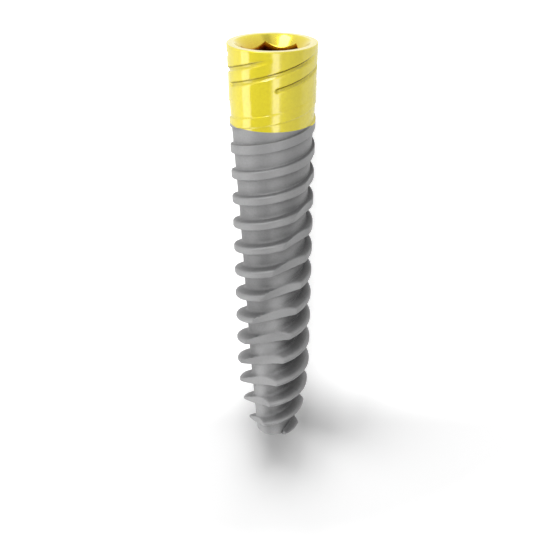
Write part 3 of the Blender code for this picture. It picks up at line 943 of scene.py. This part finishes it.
class StageSettings(bpy.types.PropertyGroup):
    """Floor and studio cards."""

    floor_colour: FloatVectorProperty(name="Floor Colour", description="Colour of the floor", size=3,
                                      subtype="COLOR", min=0.0, max=1.0, default=(0.85, 0.85, 0.85))
    floor_size: FloatProperty(name="Floor Size", description="Side of the square floor",
                              subtype="DISTANCE", unit="LENGTH", min=0.1, default=4.0)
    # Painted light beside the body, which washes out its shadow there.
    painted_floor_light: FloatProperty(name="Floor Lift", description="Whiteness added beside the body",
                              min=0.0, default=0.6)
    lift_start: FloatProperty(name="Lift Start", description="Place, from the apex, where the lift starts",
                              subtype="DISTANCE", unit="LENGTH", default=-0.0010)
    lift_end: FloatProperty(name="Lift End", description="Place, from the apex, where the lift is full",
                            subtype="DISTANCE", unit="LENGTH", default=0.0026)
    far_start: FloatProperty(name="Far Start", description="Distance at which the open floor turns whiter",
                             subtype="DISTANCE", unit="LENGTH", min=0.0, default=0.014)
    far_end: FloatProperty(name="Far End", description="Distance at which the open floor is whitest",
                           subtype="DISTANCE", unit="LENGTH", min=0.0, default=0.022)
    left_card: FloatProperty(name="Left Card", description="Brightness of the card over the left side",
                             min=0.0, default=0.36)
    right_card: FloatProperty(name="Right Card", description="Brightness of the card over the right side",
                              min=0.0, default=0.66)


class IMPLANT_OT_threaded_body(bpy.types.Operator):
    """Build the blasted threaded body with its flutes and apex"""

    bl_idname = "implant.threaded_body"
    bl_label = "Threaded Body"

    def execute(self, context):
        settings = context.scene.implant
        material = metal_material("blasted_titanium", settings.blasted)
        build_threaded_body(settings.thread, settings.collar, material)
        return {"FINISHED"}


class IMPLANT_OT_collar(bpy.types.Operator):
    """Build the anodised collar with its helical grooves"""

    bl_idname = "implant.collar"
    bl_label = "Collar"

    def execute(self, context):
        settings = context.scene.implant
        material = metal_material("gold_anodised_titanium", settings.anodised)
        build_collar(settings.thread, settings.collar, material)
        return {"FINISHED"}


class IMPLANT_OT_socket(bpy.types.Operator):
    """Build the rim, bevel, hexagon and screw bore"""

    bl_idname = "implant.socket"
    bl_label = "Socket"

    def execute(self, context):
        settings = context.scene.implant
        build_socket(settings.thread, settings.socket, metal_material("gold_socket", settings.socket_finish))
        return {"FINISHED"}


class IMPLANT_OT_stage(bpy.types.Operator):
    """Build the floor, the lights and the camera"""

    bl_idname = "implant.stage"
    bl_label = "Stage"

    def execute(self, context):
        stage = context.scene.implant.stage
        context.scene.view_settings.view_transform = "Standard"
        build_world()
        build_floor(stage)
        for name, start, end in BENT_CARDS:
            build_bent_card(name, start, end, getattr(stage, name))
        for card in PLATFORM_CARDS:
            build_flat_card(*card)
        for lamp in REFLECTED_LAMPS:
            build_lamp(*lamp).visible_diffuse = False
        for lamp in FLOOR_LAMPS:
            build_lamp(*lamp).visible_glossy = False
        build_camera()
        return {"FINISHED"}


class ImplantSettings(bpy.types.PropertyGroup):
    """All settings of the implant and its stage."""

    thread: PointerProperty(type=ThreadSettings, name="Thread", description="Threaded body")
    collar: PointerProperty(type=CollarSettings, name="Collar", description="Collar")
    socket: PointerProperty(type=SocketSettings, name="Socket", description="Socket")
    blasted: PointerProperty(type=FinishSettings, name="Blasted", description="Blasted finish")
    anodised: PointerProperty(type=FinishSettings, name="Anodised", description="Anodised finish")
    socket_finish: PointerProperty(type=FinishSettings, name="Socket Finish",
                                   description="Anodised finish in the socket")
    stage: PointerProperty(type=StageSettings, name="Stage", description="Stage")


class IMPLANT_PT_builder(bpy.types.Panel):
    """Sidebar panel with the implant's settings and operators"""

    bl_label = "Screw Implant"
    bl_idname = "IMPLANT_PT_builder"
    bl_space_type = "VIEW_3D"
    bl_region_type = "UI"
    bl_category = "Implant"

    def draw(self, context):
        for operator in OPERATORS:
            self.layout.operator(operator.bl_idname)
        for name in ("thread", "collar", "socket", "blasted", "anodised", "socket_finish", "stage"):
            group = getattr(context.scene.implant, name)
            box = self.layout.box()
            box.label(text=name.replace("_", " ").title())
            for key in group.__annotations__:
                box.prop(group, key)


# What the anodised finishes have otherwise than the blasted one
ANODISED = {
    "colour": (0.77, 0.67, 0.005),
    # Painted shade in the collar's grooves and on its walls that face the apex.
    "painted_shade_colour": (0.14, 0.085, 0.001),
    "painted_shade_reach": 0.00014,
    "painted_shade_onset": 0.86,
    "painted_shade_left": 0.8,
    "painted_shade_right": 1.5,
    "grain_share": 0.0,
    "painted_crest_highlight": 0.0,
    "painted_underside_shade": 1.0,
    "roughness": 0.7,
    "coat_index": 1.9,
    "coat_roughness": 0.12,
    "grains_per_metre": 9000.0,
    "grain_height": 0.000002,
    "grain_strength": 0.12,
}
ANODISED_SOCKET = {
    **ANODISED,
    "colour": (0.82, 0.70, 0.006),
    # Reddish painted shade that reaches deep into the socket.
    "painted_shade_colour": (0.42, 0.12, 0.004),
    "painted_shade_reach": 0.0025,
    "painted_shade_left": 1.0,
    "painted_underside_shade": 0.0,
    "roughness": 0.2,
}

OPERATORS = (IMPLANT_OT_threaded_body, IMPLANT_OT_collar, IMPLANT_OT_socket, IMPLANT_OT_stage)
CLASSES = (FinishSettings, ThreadSettings, CollarSettings, SocketSettings, StageSettings, ImplantSettings,
           *OPERATORS, IMPLANT_PT_builder)


def register():
    """Register the classes and the scene's settings."""
    for part in CLASSES:
        bpy.utils.register_class(part)
    bpy.types.Scene.implant = PointerProperty(type=ImplantSettings)


def unregister():
    """Take the classes and the settings away again."""
    del bpy.types.Scene.implant
    for part in reversed(CLASSES):
        bpy.utils.unregister_class(part)


def set_finish(finish, looks):
    """Give a finish the looks of a table."""
    for key, value in looks.items():
        setattr(finish, key, value)


def main():
    """Register the add-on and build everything."""
    register()
    settings = bpy.context.scene.implant
    set_finish(settings.anodised, ANODISED)
    set_finish(settings.socket_finish, ANODISED_SOCKET)
    bpy.ops.implant.threaded_body()
    bpy.ops.implant.collar()
    bpy.ops.implant.socket()
    bpy.ops.implant.stage()


if __name__ == "__main__":
    main()
